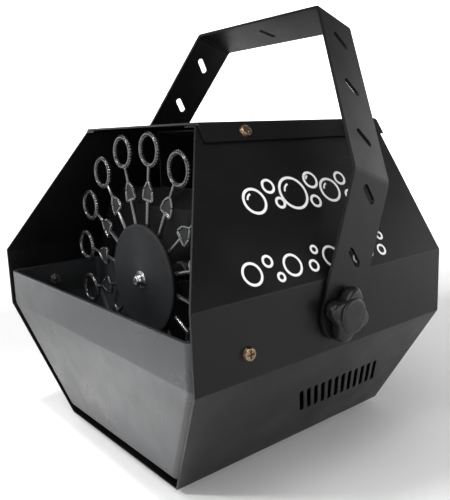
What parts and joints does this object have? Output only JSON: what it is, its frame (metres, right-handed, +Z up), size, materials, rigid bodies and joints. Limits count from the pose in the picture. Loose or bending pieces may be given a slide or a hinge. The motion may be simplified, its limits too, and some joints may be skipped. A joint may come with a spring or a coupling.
{
  "type": "bubble machine",
  "caption": "Six-sided sheet-steel bubble machine with an open front, fluid tank, motor-driven wand wheel, blower fan and swinging carrying yoke.",
  "frame": {"origin": "on the surface the feet stand on, midway across and midway between the front edges and the rear fittings", "axes": "+Z up, -Y out of the open front, +X to the right when the front is on the left of the viewer, along the yoke pivots"},
  "size_m": [0.2656, 0.209, 0.2844],
  "materials": {
    "painted_steel": "satin black powder coat over folded sheet steel",
    "inner_steel": "black paint, slightly duller than outside",
    "tank_plastic": "dark grey satin moulded plastic",
    "wheel_plastic": "black semi-gloss moulded plastic",
    "knob_plastic": "black moulded plastic, worn shine on the lobes",
    "black_plastic": "black moulded plastic",
    "rocker_plastic": "red moulded plastic",
    "rubber": "black rubber",
    "nylon": "natural nylon",
    "ceramic": "off-white moulded terminal block",
    "bronze_screw": "yellow-brown passivated steel, cross recess",
    "zinc_steel": "zinc-plated steel",
    "black_screw": "blackened steel",
    "motor_steel": "plated steel can",
    "pin_brass": "nickel-plated brass pins"
  },
  "bodies": {
    "housing": {"shell": "painted_steel", "top_cover": "painted_steel", "rear_panel": "painted_steel", "bulkhead": "inner_steel", "air_duct": "inner_steel", "solution_tank": "tank_plastic", "tank_pads": "rubber", "tank_washers": "rubber", "tank_screws": "bronze_screw", "tank_nuts": "zinc_steel", "cover_screws": "bronze_screw", "rear_screws": "black_screw", "rubber_feet": "rubber", "foot_screws": "zinc_steel", "foot_nuts": "zinc_steel", "pivot_washers": "nylon", "pivot_nuts": "zinc_steel", "gear_motor": "motor_steel", "motor_screws": "zinc_steel", "motor_nuts": "zinc_steel", "fan_frame": "black_plastic", "fan_screws": "zinc_steel", "fan_nuts": "zinc_steel", "power_inlet": "black_plastic", "inlet_pins": "pin_brass", "inlet_screws": "black_screw", "switch_housing": "black_plastic", "fuse_holder": "black_plastic", "fuse_cap": "black_plastic", "terminal_block": "ceramic", "terminal_screws": "zinc_steel"},
    "bubble_wheel": {"wand_wheel": "wheel_plastic", "shaft_spacer": "black_plastic", "hub_disc": "wheel_plastic", "axle_washer": "zinc_steel", "axle_nut": "zinc_steel", "drive_shaft": "zinc_steel"},
    "blower_rotor": {"fan_rotor": "black_plastic"},
    "rocker": {"switch_rocker": "rocker_plastic"},
    "carrying_yoke": {"yoke": "painted_steel"},
    "left_knob": {"knob_left": "knob_plastic", "stud_left": "zinc_steel"},
    "right_knob": {"knob_right": "knob_plastic", "stud_right": "zinc_steel"}
  },
  "joints": [
    {"name": "wheel_spin", "type": "hinge", "parent": "housing", "child": "bubble_wheel", "pos_m": [0, -0.0545, 0.114], "axis": [0, 1, 0], "continuous": true},
    {"name": "blower_spin", "type": "hinge", "parent": "housing", "child": "blower_rotor", "pos_m": [0, 0.0855, 0.155], "axis": [0, 1, 0], "continuous": true},
    {"name": "yoke_swing", "type": "hinge", "parent": "housing", "child": "carrying_yoke", "pos_m": [0, -0.0025, 0.105], "axis": [1, 0, 0], "range_deg": [-30, 70]},
    {"name": "left_knob_turn", "type": "hinge", "parent": "housing", "child": "left_knob", "pos_m": [-0.125, -0.0025, 0.105], "axis": [1, 0, 0], "continuous": true},
    {"name": "right_knob_turn", "type": "hinge", "parent": "housing", "child": "right_knob", "pos_m": [0.125, -0.0025, 0.105], "axis": [1, 0, 0], "continuous": true},
    {"name": "rocker_press", "type": "hinge", "parent": "housing", "child": "rocker", "pos_m": [0, 0.098, 0.048], "axis": [1, 0, 0], "range_deg": [-20, 0]}
  ]
}
